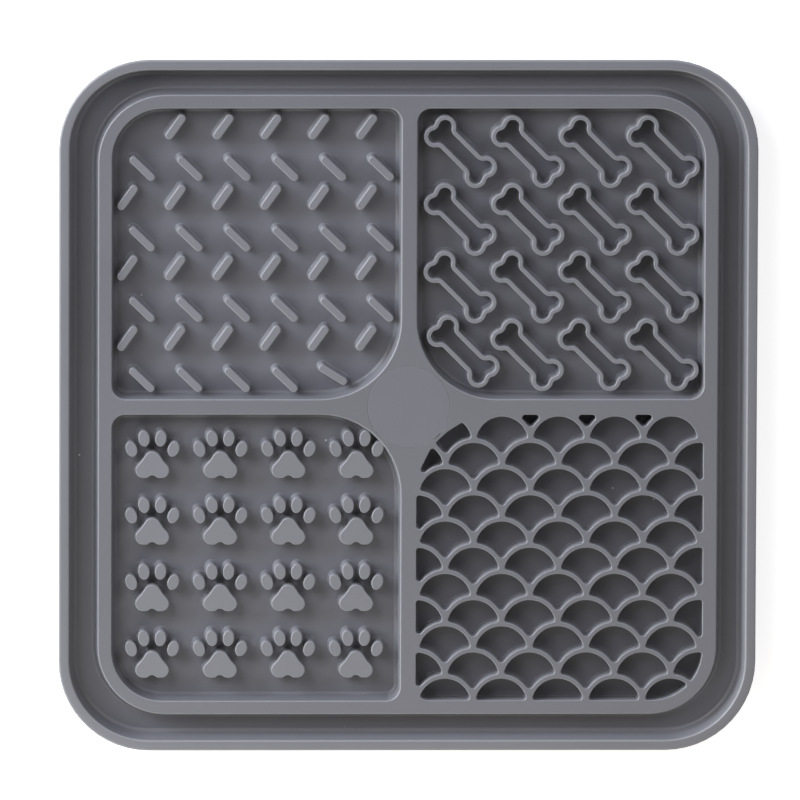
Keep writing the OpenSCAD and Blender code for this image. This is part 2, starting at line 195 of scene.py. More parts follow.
def belt(circles, step=turn_step):
    """An outline run counter-clockwise round circles (x, y, r) and along their common tangents. A circle
    with a negative radius is passed on its other side. Gives a function of how far out the outline is
    moved, whose points keep their number and order."""
    headings = []
    touching = []
    for (x1, y1, r1), (x2, y2, r2) in zip(circles, circles[1:] + circles[:1]):
        reach = math.hypot(x2 - x1, y2 - y1)
        slant = math.asin(max(-1.0, min(1.0, (r2 - r1) / reach)))
        headings.append(math.atan2(y2 - y1, x2 - x1) - slant)
        touching.append(reach * reach - (r2 - r1) ** 2 < area_slack)
    arcs = []
    for i, (x, y, r) in enumerate(circles):
        sweep = (headings[i] - headings[i - 1]) % math.tau
        if r < 0:
            sweep -= math.tau
        if abs(sweep) > math.tau - angle_slack:
            sweep = 0.0
        steps = max(1, round(abs(sweep) / step))
        arcs.append((x, y, r, headings[i - 1], sweep, steps, touching[i - 1]))

    def outline(out):
        points = []
        for x, y, r, start, sweep, steps, touches in arcs:
            for k in range(1 if touches else 0, steps + 1):
                a = start + sweep * k / steps
                points.append((x + (r + out) * math.sin(a), y - (r + out) * math.cos(a)))
        return points

    outline.sweeps = [sweep for _, _, _, _, sweep, _, _ in arcs]
    return outline


def round_box(x_span, y_span, radii):
    """The outline of a box with round corners, with radii of the corners +X+Y, -X+Y, -X-Y and +X-Y."""
    (x1, x2), (y1, y2) = x_span, y_span
    a, b, c, d = radii
    return belt([(x2 - a, y2 - a, a), (x1 + b, y2 - b, b), (x1 + c, y1 + c, c), (x2 - d, y1 + d, d)])


def round_outline(facets):
    """The outline of a circle, whose radius is how far out it is moved."""
    return lambda out: [(out * math.cos(math.tau * k / facets), out * math.sin(math.tau * k / facets))
                        for k in range(facets)]


def oval(half_x, half_y, facets):
    """The outline of an oval."""
    return lambda out: [((half_x + out) * math.cos(math.tau * k / facets),
                         (half_y + out) * math.sin(math.tau * k / facets)) for k in range(facets)]


def placed(outline, x, y, turn=0.0):
    """An outline turned about the origin and moved."""
    c, s = math.cos(turn), math.sin(turn)
    return lambda out: [(x + c * px - s * py, y + s * px + c * py) for px, py in outline(out)]


# Profiles: lists of (how far out, height), from the bottom up

def arc_profile(centre, radius, start, end, steps):
    """Points of a profile along an arc, between two angles in degrees."""
    angles = [math.radians(start + (end - start) * k / steps) for k in range(steps + 1)]
    return [(centre[0] + radius * math.cos(a), centre[1] + radius * math.sin(a)) for a in angles]


def wall_profile(low, high, lean, edge_r, foot_r, steps=edge_steps):
    """A leaning wall with a hollow fillet at its foot and a round top edge. Its upright line through
    nought is where the wall would end if the top edge were sharp. A nearly flat step next to each flat
    face keeps its shading even."""
    slope = math.degrees(math.atan2(lean, high - low))
    rise = foot_r * (1 - math.sin(math.radians(slope)))
    foot_out = lean * (1 - rise / (high - low)) + foot_r * math.cos(math.radians(slope))
    foot_centre, edge_centre = (foot_out, low + foot_r), (-edge_r, high - edge_r)
    foot = arc_profile(foot_centre, foot_r, 270, 180 + slope, steps)
    edge = arc_profile(edge_centre, edge_r, slope, 90, steps)
    foot.insert(1, arc_profile(foot_centre, foot_r, 270 - flat_step, 270, 1)[0])
    edge.insert(-1, arc_profile(edge_centre, edge_r, 90 - flat_step, 90, 1)[0])
    return foot + edge


def mirrored(profile):
    """The same profile for the wall of a hole."""
    return [(-out, z) for out, z in profile]


# Meshes

def add_walls(bm, outline, profile):
    """Rings of points at each step of the profile, joined by smooth faces. Gives the lowest and the
    highest ring. The band just under the profile's top is marked for a painted highlight."""
    highlight_mask = bm.verts.layers.float.get("painted_highlight_edge") or bm.verts.layers.float.new("painted_highlight_edge")
    top = max(z for _, z in profile)
    rings = [[bm.verts.new((x, y, z)) for x, y in outline(out)] for out, z in profile]
    for ring, (_, z) in zip(rings, profile):
        if top - highlight_band_bottom < z < top - highlight_band_top:
            for vert in ring:
                vert[highlight_mask] = 1.0
    for low, high in zip(rings, rings[1:]):
        for i in range(len(low)):
            bm.faces.new((low[i - 1], low[i], high[i], high[i - 1])).smooth = True
    return rings[0], rings[-1]


def add_block(bm, outline, profile):
    """A closed solid with one flat face below and one above."""
    low, high = add_walls(bm, outline, profile)
    bm.faces.new(low[::-1])
    bm.faces.new(high)


def add_ring(bm, outline, profile):
    """A closed ring round an outline: the profile's last point joins its first."""
    low, high = add_walls(bm, outline, profile)
    for i in range(len(low)):
        bm.faces.new((high[i - 1], high[i], low[i], low[i - 1]))


def ring_edges(bm, ring):
    """The edges between a ring's points."""
    return [bm.edges.get((ring[i - 1], ring[i])) for i in range(len(ring))]


def add_pierced_block(bm, walls, pockets=()):
    """A closed solid with flat faces below and above. Walls are its outer outline and its holes, each with
    a profile, and pockets are holes that end before the bottom."""
    rings = [add_walls(bm, outline, profile) for outline, profile in walls]
    pocket_rings = [add_walls(bm, outline, profile) for outline, profile in pockets]
    for floor, _ in pocket_rings:
        bm.faces.new(floor)
    lows = [ring for ring, _ in rings]
    highs = [ring for _, ring in rings + pocket_rings]
    for group in (lows, highs):
        edges = [edge for ring in group for edge in ring_edges(bm, ring)]
        bmesh.ops.triangle_fill(bm, use_beauty=True, use_dissolve=False, edges=edges)


def mesh_of(name, build):
    """A mesh made by a function that fills an empty bmesh, with every face pointing outwards."""
    bm = bmesh.new()
    build(bm)
    bmesh.ops.recalc_face_normals(bm, faces=bm.faces)
    mesh = bpy.data.meshes.new(name)
    bm.to_mesh(mesh)
    bm.free()
    return mesh


def piece(name, mesh, body, replaced, material=None):
    """Puts a finished mesh into the scene as a piece that stands for CAD nodes. A mesh of copies in rows
    has its material already."""
    obj = bpy.data.objects.new(name, mesh)
    bpy.context.scene.collection.objects.link(obj)
    if material:
        mesh.materials.append(material)
    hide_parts(*replaced)
    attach(obj, body)
    return obj


def numbered(name, numbers):
    """Names of the CAD nodes of a pattern."""
    return [f"{name}_{i:02d}" for i in numbers]


# Materials

class Nodes:
    """Short calls for building a node tree."""

    def __init__(self, tree):
        self.tree = tree

    def add(self, kind, links=None, **settings):
        """A new node. Links gives its inputs, each a socket to link or a value, and settings its own
        properties."""
        node = self.tree.nodes.new(kind)
        for name, value in settings.items():
            setattr(node, name, value)
        for name, value in (links or {}).items():
            if isinstance(value, bpy.types.NodeSocket):
                self.tree.links.new(value, node.inputs[name])
            else:
                node.inputs[name].default_value = value
        return node

    def math(self, operation, a, b=0.0):
        """The result of a sum of two sockets or values."""
        return self.add("ShaderNodeMath", {0: a, 1: b}, operation=operation).outputs[0]


def shader_group(name, inputs, outputs):
    """An empty shader group with named sockets, as (helper, input sockets, output node)."""
    tree = bpy.data.node_groups.new(name, "ShaderNodeTree")
    for label, (kind, value) in inputs.items():
        socket = tree.interface.new_socket(label, in_out="INPUT", socket_type=kind)
        socket.default_value = value
    for label, kind in outputs.items():
        tree.interface.new_socket(label, in_out="OUTPUT", socket_type=kind)
    nodes = Nodes(tree)
    return nodes, nodes.add("NodeGroupInput").outputs, nodes.add("NodeGroupOutput")


def moulded_tint_group():
    """Soft, cloudy changes of shade, as in a thick rubber moulding."""
    nodes, given, result = shader_group(
        "moulded_tint",
        {"Light Colour": ("NodeSocketColor", (0.2, 0.2, 0.22, 1)),
         "Dark Colour": ("NodeSocketColor", (0.16, 0.16, 0.18, 1)),
         "Cloud Scale": ("NodeSocketFloat", 30.0)},
        {"Colour": "NodeSocketColor", "Cloud": "NodeSocketFloat"})
    place = nodes.add("ShaderNodeTexCoord").outputs["Object"]
    cloud = nodes.add("ShaderNodeTexNoise", {"Vector": place, "Scale": given["Cloud Scale"], "Detail": 3.0,
                                             "Roughness": 0.55})
    spread = nodes.add("ShaderNodeMapRange", {"Value": cloud.outputs[0], "From Min": 0.35,
                                              "From Max": 0.65}).outputs[0]
    mixed = nodes.add("ShaderNodeMix", {"Factor": spread, "A": given["Dark Colour"],
                                        "B": given["Light Colour"]}, data_type="RGBA")
    nodes.tree.links.new(mixed.outputs["Result"], result.inputs["Colour"])
    nodes.tree.links.new(spread, result.inputs["Cloud"])
    return nodes.tree


def dust_group():
    """A few tiny pale specks, which silicone draws to itself."""
    nodes, given, result = shader_group(
        "dust_specks",
        {"Speck Scale": ("NodeSocketFloat", 170.0), "Speck Size": ("NodeSocketFloat", 0.05),
         "Share": ("NodeSocketFloat", 0.03)},
        {"Mask": "NodeSocketFloat"})
    place = nodes.add("ShaderNodeTexCoord").outputs["Object"]
    cells = nodes.add("ShaderNodeTexVoronoi", {"Vector": place, "Scale": given["Speck Scale"],
                                               "Randomness": 1.0})
    near = nodes.math("LESS_THAN", cells.outputs["Distance"], given["Speck Size"])
    drawn = nodes.add("ShaderNodeSeparateColor", {"Color": cells.outputs["Color"]}).outputs["Red"]
    chosen = nodes.math("LESS_THAN", drawn, given["Share"])
    nodes.tree.links.new(nodes.math("MULTIPLY", near, chosen), result.inputs["Mask"])
    return nodes.tree


def painted_highlight_group():
    """A painted highlight: paler colour along the thin top edges, standing in for the light that catches
    them.
    """
    nodes, given, result = shader_group(
        "painted_edge_highlight",
        {"Colour": ("NodeSocketColor", (0.2, 0.2, 0.22, 1)),
         "Highlight Colour": ("NodeSocketColor", (0.4, 0.4, 0.42, 1)),
         "Strength": ("NodeSocketFloat", 0.5)},
        {"Colour": "NodeSocketColor"})
    edge = nodes.add("ShaderNodeAttribute", attribute_name="painted_highlight_edge").outputs["Fac"]
    share = nodes.math("MULTIPLY", edge, given["Strength"])
    mixed = nodes.add("ShaderNodeMix", {"Factor": share, "A": given["Colour"], "B": given["Highlight Colour"]},
                      data_type="RGBA")
    nodes.tree.links.new(mixed.outputs["Result"], result.inputs["Colour"])
    return nodes.tree


def grain_group():
    """The fine, dull grain that a sandblasted mould leaves, over a gentle unevenness."""
    nodes, given, result = shader_group(
        "mould_grain",
        {"Grain Scale": ("NodeSocketFloat", 2500.0), "Wave Scale": ("NodeSocketFloat", 60.0),
         "Wave Share": ("NodeSocketFloat", 0.7)},
        {"Height": "NodeSocketFloat"})
    place = nodes.add("ShaderNodeTexCoord").outputs["Object"]
    grain = nodes.add("ShaderNodeTexNoise", {"Vector": place, "Scale": given["Grain Scale"], "Detail": 2.0})
    wave = nodes.add("ShaderNodeTexNoise", {"Vector": place, "Scale": given["Wave Scale"], "Detail": 1.0})
    mixed = nodes.add("ShaderNodeMix", {"Factor": given["Wave Share"], "A": grain.outputs[0],
                                        "B": wave.outputs[0]}, data_type="FLOAT")
    nodes.tree.links.new(mixed.outputs["Result"], result.inputs["Height"])
    return nodes.tree


tint_group = moulded_tint_group()
specks_group = dust_group()
skin_group = grain_group()
highlight_group = painted_highlight_group()

# Values that all finishes share
dark_share = 0.93
cloud_scale = 30.0
roughness_spread = 0.04
# Colour of the painted highlight along thin edges
painted_highlight_colour = (0.4, 0.4, 0.42)
dust_colour = (0.62, 0.62, 0.64)
grain_strength = 0.25
grain_depth = 0.3 * MM


def silicone(name, colour, roughness=0.42, speck_share=0.03):
    """Matt grey silicone of one shade, a little cloudy, with a painted highlight along thin edges, dust and
    a fine grain.
    """
    material = bpy.data.materials.new(name)
    material.use_nodes = True
    material.node_tree.nodes.clear()
    nodes = Nodes(material.node_tree)
    tint = nodes.add("ShaderNodeGroup", node_tree=tint_group)
    tint.inputs["Light Colour"].default_value = (*colour, 1)
    tint.inputs["Dark Colour"].default_value = (*(c * dark_share for c in colour), 1)
    tint.inputs["Cloud Scale"].default_value = cloud_scale
    specks = nodes.add("ShaderNodeGroup", node_tree=specks_group)
    specks.inputs["Share"].default_value = speck_share
    skin = nodes.add("ShaderNodeGroup", node_tree=skin_group)
    # Painted highlight along thin edges, mixed into the base colour
    edges = nodes.add("ShaderNodeGroup", node_tree=highlight_group)
    edges.inputs["Highlight Colour"].default_value = (*painted_highlight_colour, 1)
    nodes.tree.links.new(tint.outputs["Colour"], edges.inputs["Colour"])
    base = nodes.add("ShaderNodeMix", {"Factor": specks.outputs["Mask"], "A": edges.outputs["Colour"],
                                       "B": (*dust_colour, 1)}, data_type="RGBA")
    rough = nodes.add("ShaderNodeMapRange", {"Value": tint.outputs["Cloud"],
                                             "To Min": roughness + roughness_spread,
                                             "To Max": roughness - roughness_spread})
    bump = nodes.add("ShaderNodeBump", {"Height": skin.outputs["Height"], "Strength": grain_strength,
                                        "Distance": grain_depth})
    shader = nodes.add("ShaderNodeBsdfPrincipled", {
        "Base Color": base.outputs["Result"], "Roughness": rough.outputs[0], "Normal": bump.outputs[0]})
    nodes.add("ShaderNodeOutputMaterial", {"Surface": shader.outputs[0]})
    return material


# The mat is one silicone: the floor is painted darker for the shade in the wells and the gutter, and the
# rim and the textures are painted lighter for the light that they catch
floor_painted_shade = silicone("floor_silicone_matt_painted_shade", (0.193, 0.193, 0.217), speck_share=0.05)
wall_finish = silicone("wall_silicone_satin", (0.215, 0.215, 0.235), roughness=0.36)
rim_painted_light = silicone("rim_silicone_satin_painted_light", (0.243, 0.243, 0.263), roughness=0.36)
texture_painted_light = silicone("texture_silicone_satin_painted_light", (0.256, 0.256, 0.277), roughness=0.36)
plate_finish = silicone("plate_silicone_smooth", (0.22, 0.22, 0.243), roughness=0.44)
cup_finish = silicone("cup_silicone_smooth", (0.19, 0.19, 0.205), roughness=0.4)


# Copies in rows

def copies_in_rows_tree():
    """Geometry nodes that stand one shape in columns and rows on a level. One odd copy, counted from
    nought, may be moved and turned, and copies may be left out at both ends."""
    tree = bpy.data.node_groups.new("copies_in_rows", "GeometryNodeTree")
    tree.interface.new_socket("Shape", in_out="INPUT", socket_type="NodeSocketGeometry")
    for label in ("Columns", "Rows", "Skip First", "Skip Last", "Odd One"):
        tree.interface.new_socket(label, in_out="INPUT", socket_type="NodeSocketInt")
    for label in ("First X", "First Y", "Level", "Step X", "Step Y", "Turn", "Odd X", "Odd Y", "Odd Turn"):
        tree.interface.new_socket(label, in_out="INPUT", socket_type="NodeSocketFloat")
    tree.interface.new_socket("Finish", in_out="INPUT", socket_type="NodeSocketMaterial")
    tree.interface.new_socket("Copies", in_out="OUTPUT", socket_type="NodeSocketGeometry")
    nodes = Nodes(tree)
    given = nodes.add("NodeGroupInput").outputs
    index = nodes.add("GeometryNodeInputIndex").outputs[0]
    count = nodes.math("MULTIPLY", given["Columns"], given["Rows"])
    column = nodes.math("FLOORED_MODULO", index, given["Columns"])
    row = nodes.math("FLOOR", nodes.math("DIVIDE", index, given["Columns"]))
    odd = nodes.math("LESS_THAN", nodes.math("ABSOLUTE", nodes.math("SUBTRACT", index, given["Odd One"])),
                     0.5)

    def along(first, step, number, extra):
        """Place along one axis of each copy, from the inputs' names."""
        moved = nodes.math("ADD", given[first], nodes.math("MULTIPLY", given[step], number))
        return nodes.math("ADD", moved, nodes.math("MULTIPLY", odd, given[extra]))

    place = nodes.add("ShaderNodeCombineXYZ", {"X": along("First X", "Step X", column, "Odd X"),
                                               "Y": along("First Y", "Step Y", row, "Odd Y"),
                                               "Z": given["Level"]})
    turn = nodes.math("ADD", given["Turn"], nodes.math("MULTIPLY", odd, given["Odd Turn"]))
    points = nodes.add("GeometryNodePoints", {"Count": count, "Position": place.outputs[0]})
    after_first = nodes.math("GREATER_THAN", index, nodes.math("SUBTRACT", given["Skip First"], 0.5))
    last = nodes.math("SUBTRACT", nodes.math("SUBTRACT", count, given["Skip Last"]), 0.5)
    kept = nodes.math("MULTIPLY", after_first, nodes.math("LESS_THAN", index, last))
    stood = nodes.add("GeometryNodeInstanceOnPoints", {
        "Points": points.outputs[0], "Selection": kept, "Instance": given["Shape"],
        "Rotation": nodes.add("ShaderNodeCombineXYZ", {"Z": turn}).outputs[0]})
    real = nodes.add("GeometryNodeRealizeInstances", {"Geometry": stood.outputs[0]})
    finished = nodes.add("GeometryNodeSetMaterial", {"Geometry": real.outputs[0],
                                                     "Material": given["Finish"]})
    nodes.add("NodeGroupOutput", {"Copies": finished.outputs[0]})
    return tree


rows_tree = copies_in_rows_tree()


def rows_of(name, shape, finish, **sizes):
    """A plain mesh of copies of a shape. Sizes are the tree's inputs, with underscores for blanks."""
    host = bpy.data.objects.new(name + "_host", shape)
    bpy.context.scene.collection.objects.link(host)
    modifier = host.modifiers.new("copies_in_rows", "NODES")
    modifier.node_group = rows_tree
    values = {"Odd One": -1, **{label.replace("_", " "): value for label, value in sizes.items()}}
    for socket in rows_tree.interface.items_tree:
        if socket.in_out == "INPUT" and socket.name in values:
            modifier[socket.identifier] = values[socket.name]
        if socket.name == "Finish":
            modifier[socket.identifier] = finish
    bpy.context.view_layer.update()
    made = bpy.data.meshes.new_from_object(host.evaluated_get(bpy.context.evaluated_depsgraph_get()))
    made.name = name
    host.modifiers.remove(modifier)
    bpy.data.objects.remove(host)
    bpy.data.meshes.remove(shape)
    return made


# Sheet and rim

mat_outline = round_box((-mat_half.x, mat_half.x), (-mat_half.y, mat_half.y), [mat_corner_r] * 4)

sheet_edge = (-rim_flare - sheet_edge_r, sheet_low + sheet_edge_r)
sheet_profile = (arc_profile(sheet_edge, sheet_edge_r, 270, 360, small_edge_steps)
                 + [(-rim_flare, floor_z)])
piece("floor_sheet", mesh_of("floor_sheet", lambda bm: add_block(bm, mat_outline, sheet_profile)),
      "mat", ["base_sheet"], floor_painted_shade)

rim_wall = wall_profile(floor_z, rim_top, rim_lean, rim_edge_r, rim_foot_r)
rim_inside = [(-rim_w - out, z) for out, z in rim_wall]
rim_overhang = math.degrees(math.atan2(rim_flare, rim_top - rim_edge_r - floor_z))
rim_edge = (-rim_edge_r, rim_top - rim_edge_r)
rim_outside = ([(-rim_flare, floor_z)] + arc_profile(rim_edge, rim_edge_r, -rim_overhang, 0, 1)
               + arc_profile(rim_edge, rim_edge_r, 15, 90, edge_steps))
rim_profile = rim_outside + rim_inside[::-1]
piece("outer_rim_ring", mesh_of("outer_rim_ring", lambda bm: add_ring(bm, mat_outline, rim_profile)),
      "mat", ["outer_rim"], rim_painted_light)


# Frame and ribs

frame_half = (frame_foot.x - wall_lean, frame_foot.y - wall_lean)
inner = (frame_half[0] - frame_w, frame_half[1] - frame_w)
left_x, right_x = plate_middle.x - rib_w / 2, plate_middle.x + rib_w / 2
near_y, far_y = plate_middle.y - rib_w / 2, plate_middle.y + rib_w / 2

left_side, right_side = (-inner[0], left_x), (right_x, inner[0])
near_side, far_side = (-inner[1], near_y), (far_y, inner[1])
wells = {
    "bars": (left_side, far_side, [well_small_r, well_corner_r, well_small_r, well_hub_r]),
    "bones": (right_side, far_side, [well_corner_r, well_small_r, well_hub_r, well_small_r]),
    "paws": (left_side, near_side, [well_hub_r, well_small_r, well_corner_r, well_small_r]),
    "scales": (right_side, near_side, [well_small_r, well_hub_r, well_small_r, well_corner_r]),
}

wall = wall_profile(floor_z, wall_top, wall_lean, wall_edge_r, wall_foot_r)
frame_walls = [(round_box((-frame_half[0], frame_half[0]), (-frame_half[1], frame_half[1]),
                          [frame_corner_r] * 4), wall)]
frame_walls += [(round_box(*wells[name]), mirrored(wall)) for name in ("bars", "bones", "paws")]
# The block of scales takes a band of the frame with it, so that their walls run into each other
scales_edge = (round_box(*wells["scales"]), [(scale_band, floor_z), (scale_band, wall_top)])
frame_walls.append(scales_edge)
plate_pocket = placed(round_outline(plate_sides), plate_middle.x, plate_middle.y)
pocket_r = plate_high.x - plate_middle.x + plate_gap
pocket_profile = [(pocket_r, plate_low.z), (pocket_r, wall_top - plate_edge_r),
                  (pocket_r + plate_edge_r, wall_top)]
frame_mesh = mesh_of("frame_and_ribs", lambda bm: add_pierced_block(
    bm, frame_walls, [(plate_pocket, pocket_profile)]))
piece("frame_and_ribs", frame_mesh, "mat", ["pocket_frame", "dividing_cross"],
      wall_finish)

plate_r = plate_high.x - plate_middle.x
plate_profile = [(plate_r, plate_low.z), (plate_r, wall_top - plate_edge_r),
                 (plate_r - plate_edge_r, wall_top)]
plate_mesh = mesh_of("centre_plate_disc", lambda bm: add_block(bm, plate_pocket, plate_profile))
piece("centre_plate_disc", plate_mesh, "mat", ["centre_plate"], plate_finish)


# Slanted bars

def bar_mesh(bar):
    """One bar along X with round ends, standing on level nought."""
    r = bar["width"] / 2
    run = bar["length"] / 2 - r
    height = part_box("bar_row_01")[1].z - floor_z
    profile = wall_profile(0, height, bar_lean, bar_edge_r, bar_foot_r)
    return mesh_of("slanted_bar", lambda bm: add_block(bm, belt([(run, 0, r), (-run, 0, r)]), profile))


def row_middle(name):
    """Middle of a CAD node's box."""
    low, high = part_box(name)
    return (low + high) / 2


def bar_rows(name, bar, rows, skip_first=0, skip_last=0, **odd):
    """Rows of one kind of bar. The second of the rows is whole, so its middle gives the columns."""
    second, third = row_middle(f"bar_row_{rows[1]:02d}"), row_middle(f"bar_row_{rows[2]:02d}")
    step_y = second.y - third.y
    first_x = second.x - bar_pitch_x * (bar_columns - 1) / 2
    mesh = rows_of(name, bar_mesh(bar), texture_painted_light, Columns=bar_columns, Rows=len(rows),
                   First_X=first_x, First_Y=second.y + step_y, Level=floor_z, Step_X=bar_pitch_x,
                   Step_Y=-step_y, Turn=bar["angle"], Skip_First=skip_first, Skip_Last=skip_last, **odd)
    return piece(name, mesh, "mat", numbered("bar_row", rows))


bar_rows("right_leaning_bars", right_bar, right_bar_rows, skip_first=1)
bar_rows("left_leaning_bars", left_bar, left_bar_rows, skip_last=1, Odd_One=turned_bar_number,
         Odd_Y=turned_bar_shift, Odd_Turn=turned_bar_angle - left_bar["angle"])


# Bones

def bone_outline():
    """A bone along X: two lobes at each end, with a hollow fillet beside the shaft and between the
    lobes."""
    r, x, y = bone_lobe_r, bone_half_length, bone_half_gap
    neck_y = bone_half_shaft + bone_neck_r
    neck_x = x - math.sqrt((r + bone_neck_r) ** 2 - (neck_y - y) ** 2)
    cleft_x = x + math.sqrt((r + bone_cleft_r) ** 2 - y * y)
    return belt([(x, -y, r), (cleft_x, 0, -bone_cleft_r), (x, y, r), (neck_x, neck_y, -bone_neck_r),
                 (-neck_x, neck_y, -bone_neck_r), (-x, y, r), (-cleft_x, 0, -bone_cleft_r), (-x, -y, r),
                 (-neck_x, -neck_y, -bone_neck_r), (neck_x, -neck_y, -bone_neck_r)])


bone_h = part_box("bone_01")[1].z - floor_z
bone_profile = wall_profile(0, bone_h, bone_lean, bone_edge_r, bone_foot_r)
bone_ring = bone_profile + [(-bone_wall - out, z) for out, z in bone_profile[::-1]]
bone_mesh = mesh_of("bone", lambda bm: add_ring(bm, bone_outline(), bone_ring))
first_bone = row_middle("bone_01")
bones_mesh = rows_of(
    "bones", bone_mesh, texture_painted_light, Columns=bones_across, Rows=bones_across, First_X=first_bone.x,
    First_Y=first_bone.y, Level=floor_z, Step_X=row_middle("bone_02").x - first_bone.x,
    Step_Y=row_middle("bone_05").y - first_bone.y, Turn=bone_turn, Odd_One=shifted_bone_number,
    Odd_X=bone_shift, Odd_Y=bone_shift)
piece("bones", bones_mesh, "mat", numbered("bone", range(1, bones_across ** 2 + 1)))


# Paws

# The paw at the near left, from which the others are counted
paw_low, paw_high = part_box("paw_13")
pad_heel_y = pad_heel_share * pad_length


def pad_outline():
    """The pad: two heel lobes, a tip between the toes, sides drawn in a little, and a dent in the heel."""
    lobe = (pad_w / 2 - pad_lobe_r, pad_heel_y + pad_lobe_r)
    tip_y = pad_heel_y + pad_length - pad_tip_r
    span = math.hypot(lobe[0], tip_y - lobe[1])
    along = ((pad_lobe_r + pad_side_r) ** 2 - (pad_tip_r + pad_side_r) ** 2 + span * span) / (2 * span)
    out = math.sqrt((pad_lobe_r + pad_side_r) ** 2 - along * along)
    ux, uy = -lobe[0] / span, (tip_y - lobe[1]) / span
    side = (lobe[0] + ux * along + uy * out, lobe[1] + uy * along - ux * out)
    lip_y = pad_heel_y + pad_dent_lip_r
    dent_y = pad_heel_y + pad_dent_depth - pad_dent_r
    return belt([(lobe[0], lobe[1], pad_lobe_r), (side[0], side[1], -pad_side_r), (0, tip_y, pad_tip_r),
                 (-side[0], side[1], -pad_side_r), (-lobe[0], lobe[1], pad_lobe_r),
                 (-pad_dent_lip_x, lip_y, pad_dent_lip_r), (0, dent_y, -pad_dent_r),
                 (pad_dent_lip_x, lip_y, pad_dent_lip_r)])


def add_paw(bm):
    """One paw on level nought: its pad and four toes."""
    profile = wall_profile(0, paw_high.z - floor_z, paw_lean, paw_edge_r, paw_foot_r)
    add_block(bm, pad_outline(), profile)
    for (share_x, share_y), tilt in zip(toe_place_shares, toe_tilts):
        toe = placed(oval(*toe_half, toe_sides), share_x * pad_w, share_y * pad_length,
                     math.radians(tilt))
        add_block(bm, toe, profile)


near_left_paw = (row_middle("paw_13").x, paw_low.y + paw_lean - pad_heel_y)
paw_step_x = row_middle("paw_14").x - row_middle("paw_13").x
paw_step_y = row_middle("paw_09").y - row_middle("paw_13").y
paws_mesh = rows_of(
    "paws", mesh_of("paw", add_paw), texture_painted_light, Columns=paws_across, Rows=paws_across,
    First_X=near_left_paw[0], First_Y=near_left_paw[1] + (paws_across - 1) * paw_step_y, Level=floor_z,
    Step_X=paw_step_x, Step_Y=-paw_step_y)
piece("paws", paws_mesh, "mat", numbered("paw", range(1, paws_across ** 2 + 1)))


# Fish scales

third_crown, fourth_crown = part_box("scale_row_03")[1].y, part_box("scale_row_04")[1].y
scale_pitch_y = third_crown - fourth_crown
outer_scale_r = scale_r + scale_wall
first_scale = (right_x + scale_inset_x, third_crown - outer_scale_r + 2 * scale_pitch_y)


def scale_middle(row, i):
    """Middle of one scale. Rows are counted from 1 at the rib, and even rows stand half a step left."""
    shift = 0 if row % 2 else scale_pitch_x / 2
    return first_scale[0] - shift + scale_pitch_x * i, first_scale[1] - scale_pitch_y * (row - 1)


(scales_x1, scales_x2), (scales_y1, scales_y2), scales_radii = wells["scales"]


def well_side(point, heading):
    """How far a ray runs from a point to the well's edge, and the circle that it meets there. A straight
    side is a circle whose middle is far away."""
    x, y = point
    ux, uy = heading
    sides = []
    if ux > 0:
        sides.append(((scales_x2 - x) / ux, (scales_x2 - far_away, y, far_away)))
    if ux < 0:
        sides.append(((scales_x1 - x) / ux, (scales_x1 + far_away, y, far_away)))
    if uy > 0:
        sides.append(((scales_y2 - y) / uy, (x, scales_y2 - far_away, far_away)))
    if uy < 0:
        sides.append(((scales_y1 - y) / uy, (x, scales_y1 + far_away, far_away)))
    reach, side = min(sides)
    hit = (x + ux * reach, y + uy * reach)
    for r, edge_x, edge_y, sx, sy in zip(scales_radii, (scales_x2, scales_x1, scales_x1, scales_x2),
                                         (scales_y2, scales_y2, scales_y1, scales_y1),
                                         (1, -1, -1, 1), (1, 1, -1, -1)):
        corner = (edge_x - sx * r, edge_y - sy * r, r)
        if (hit[0] - corner[0]) * sx > 0 and (hit[1] - corner[1]) * sy > 0:
            return circle_reach(point, heading, corner), corner
    return reach, side


def circle_reach(point, heading, circle):
    """How far a ray runs from a point to a circle: out of one with a positive radius, or onto one with a
    negative radius, if it meets it."""
    dx, dy = point[0] - circle[0], point[1] - circle[1]
    middle = -(dx * heading[0] + dy * heading[1])
    square = middle * middle - dx * dx - dy * dy + circle[2] ** 2
    if square < 0 or (circle[2] < 0 and middle < 0):
        return math.inf
    return middle + math.copysign(math.sqrt(square), circle[2])


def allowed(point, circles):
    """Whether a point is inside the circles with a positive radius, outside the others, and in the
    well."""
    x, y = point
    for cx, cy, r in circles:
        if (math.hypot(x - cx, y - cy) - abs(r)) * math.copysign(1, r) > 0:
            return False
    if not (scales_x1 < x < scales_x2 and scales_y1 < y < scales_y2):
        return False
    middle = ((scales_x1 + scales_x2) / 2, (scales_y1 + scales_y2) / 2)
    span = math.hypot(x - middle[0], y - middle[1])
    if span < length_slack:
        return True
    heading = ((x - middle[0]) / span, (y - middle[1]) / span)
    return well_side(middle, heading)[0] > span


def corner_radius(a, b):
    """Radius of the fillet in a cell's corner between two of its edges."""
    if a[2] < 0 and b[2] < 0:
        return scale_cusp_r
    if max(a[2], b[2]) > 2 * outer_scale_r:
        return scale_wall_corner_r
    return scale_horn_r


def fillet(a, b, near):
    """The circle that rounds the corner between two edges, or nothing if it doesn't fit."""
    for r in (corner_radius(a, b), scale_small_corner_r):
        ra, rb = abs(a[2] - r), abs(b[2] - r)
        span = math.hypot(b[0] - a[0], b[1] - a[1])
        along = (ra * ra - rb * rb + span * span) / (2 * span)
        square = ra * ra - along * along
        if square < 0:
            continue
        ux, uy = (b[0] - a[0]) / span, (b[1] - a[1]) / span
        places = [(a[0] + ux * along - s * uy * math.sqrt(square),
                   a[1] + uy * along + s * ux * math.sqrt(square)) for s in (1, -1)]
        x, y = min(places, key=lambda p: math.hypot(p[0] - near[0], p[1] - near[1]))
        return x, y, r
    return None


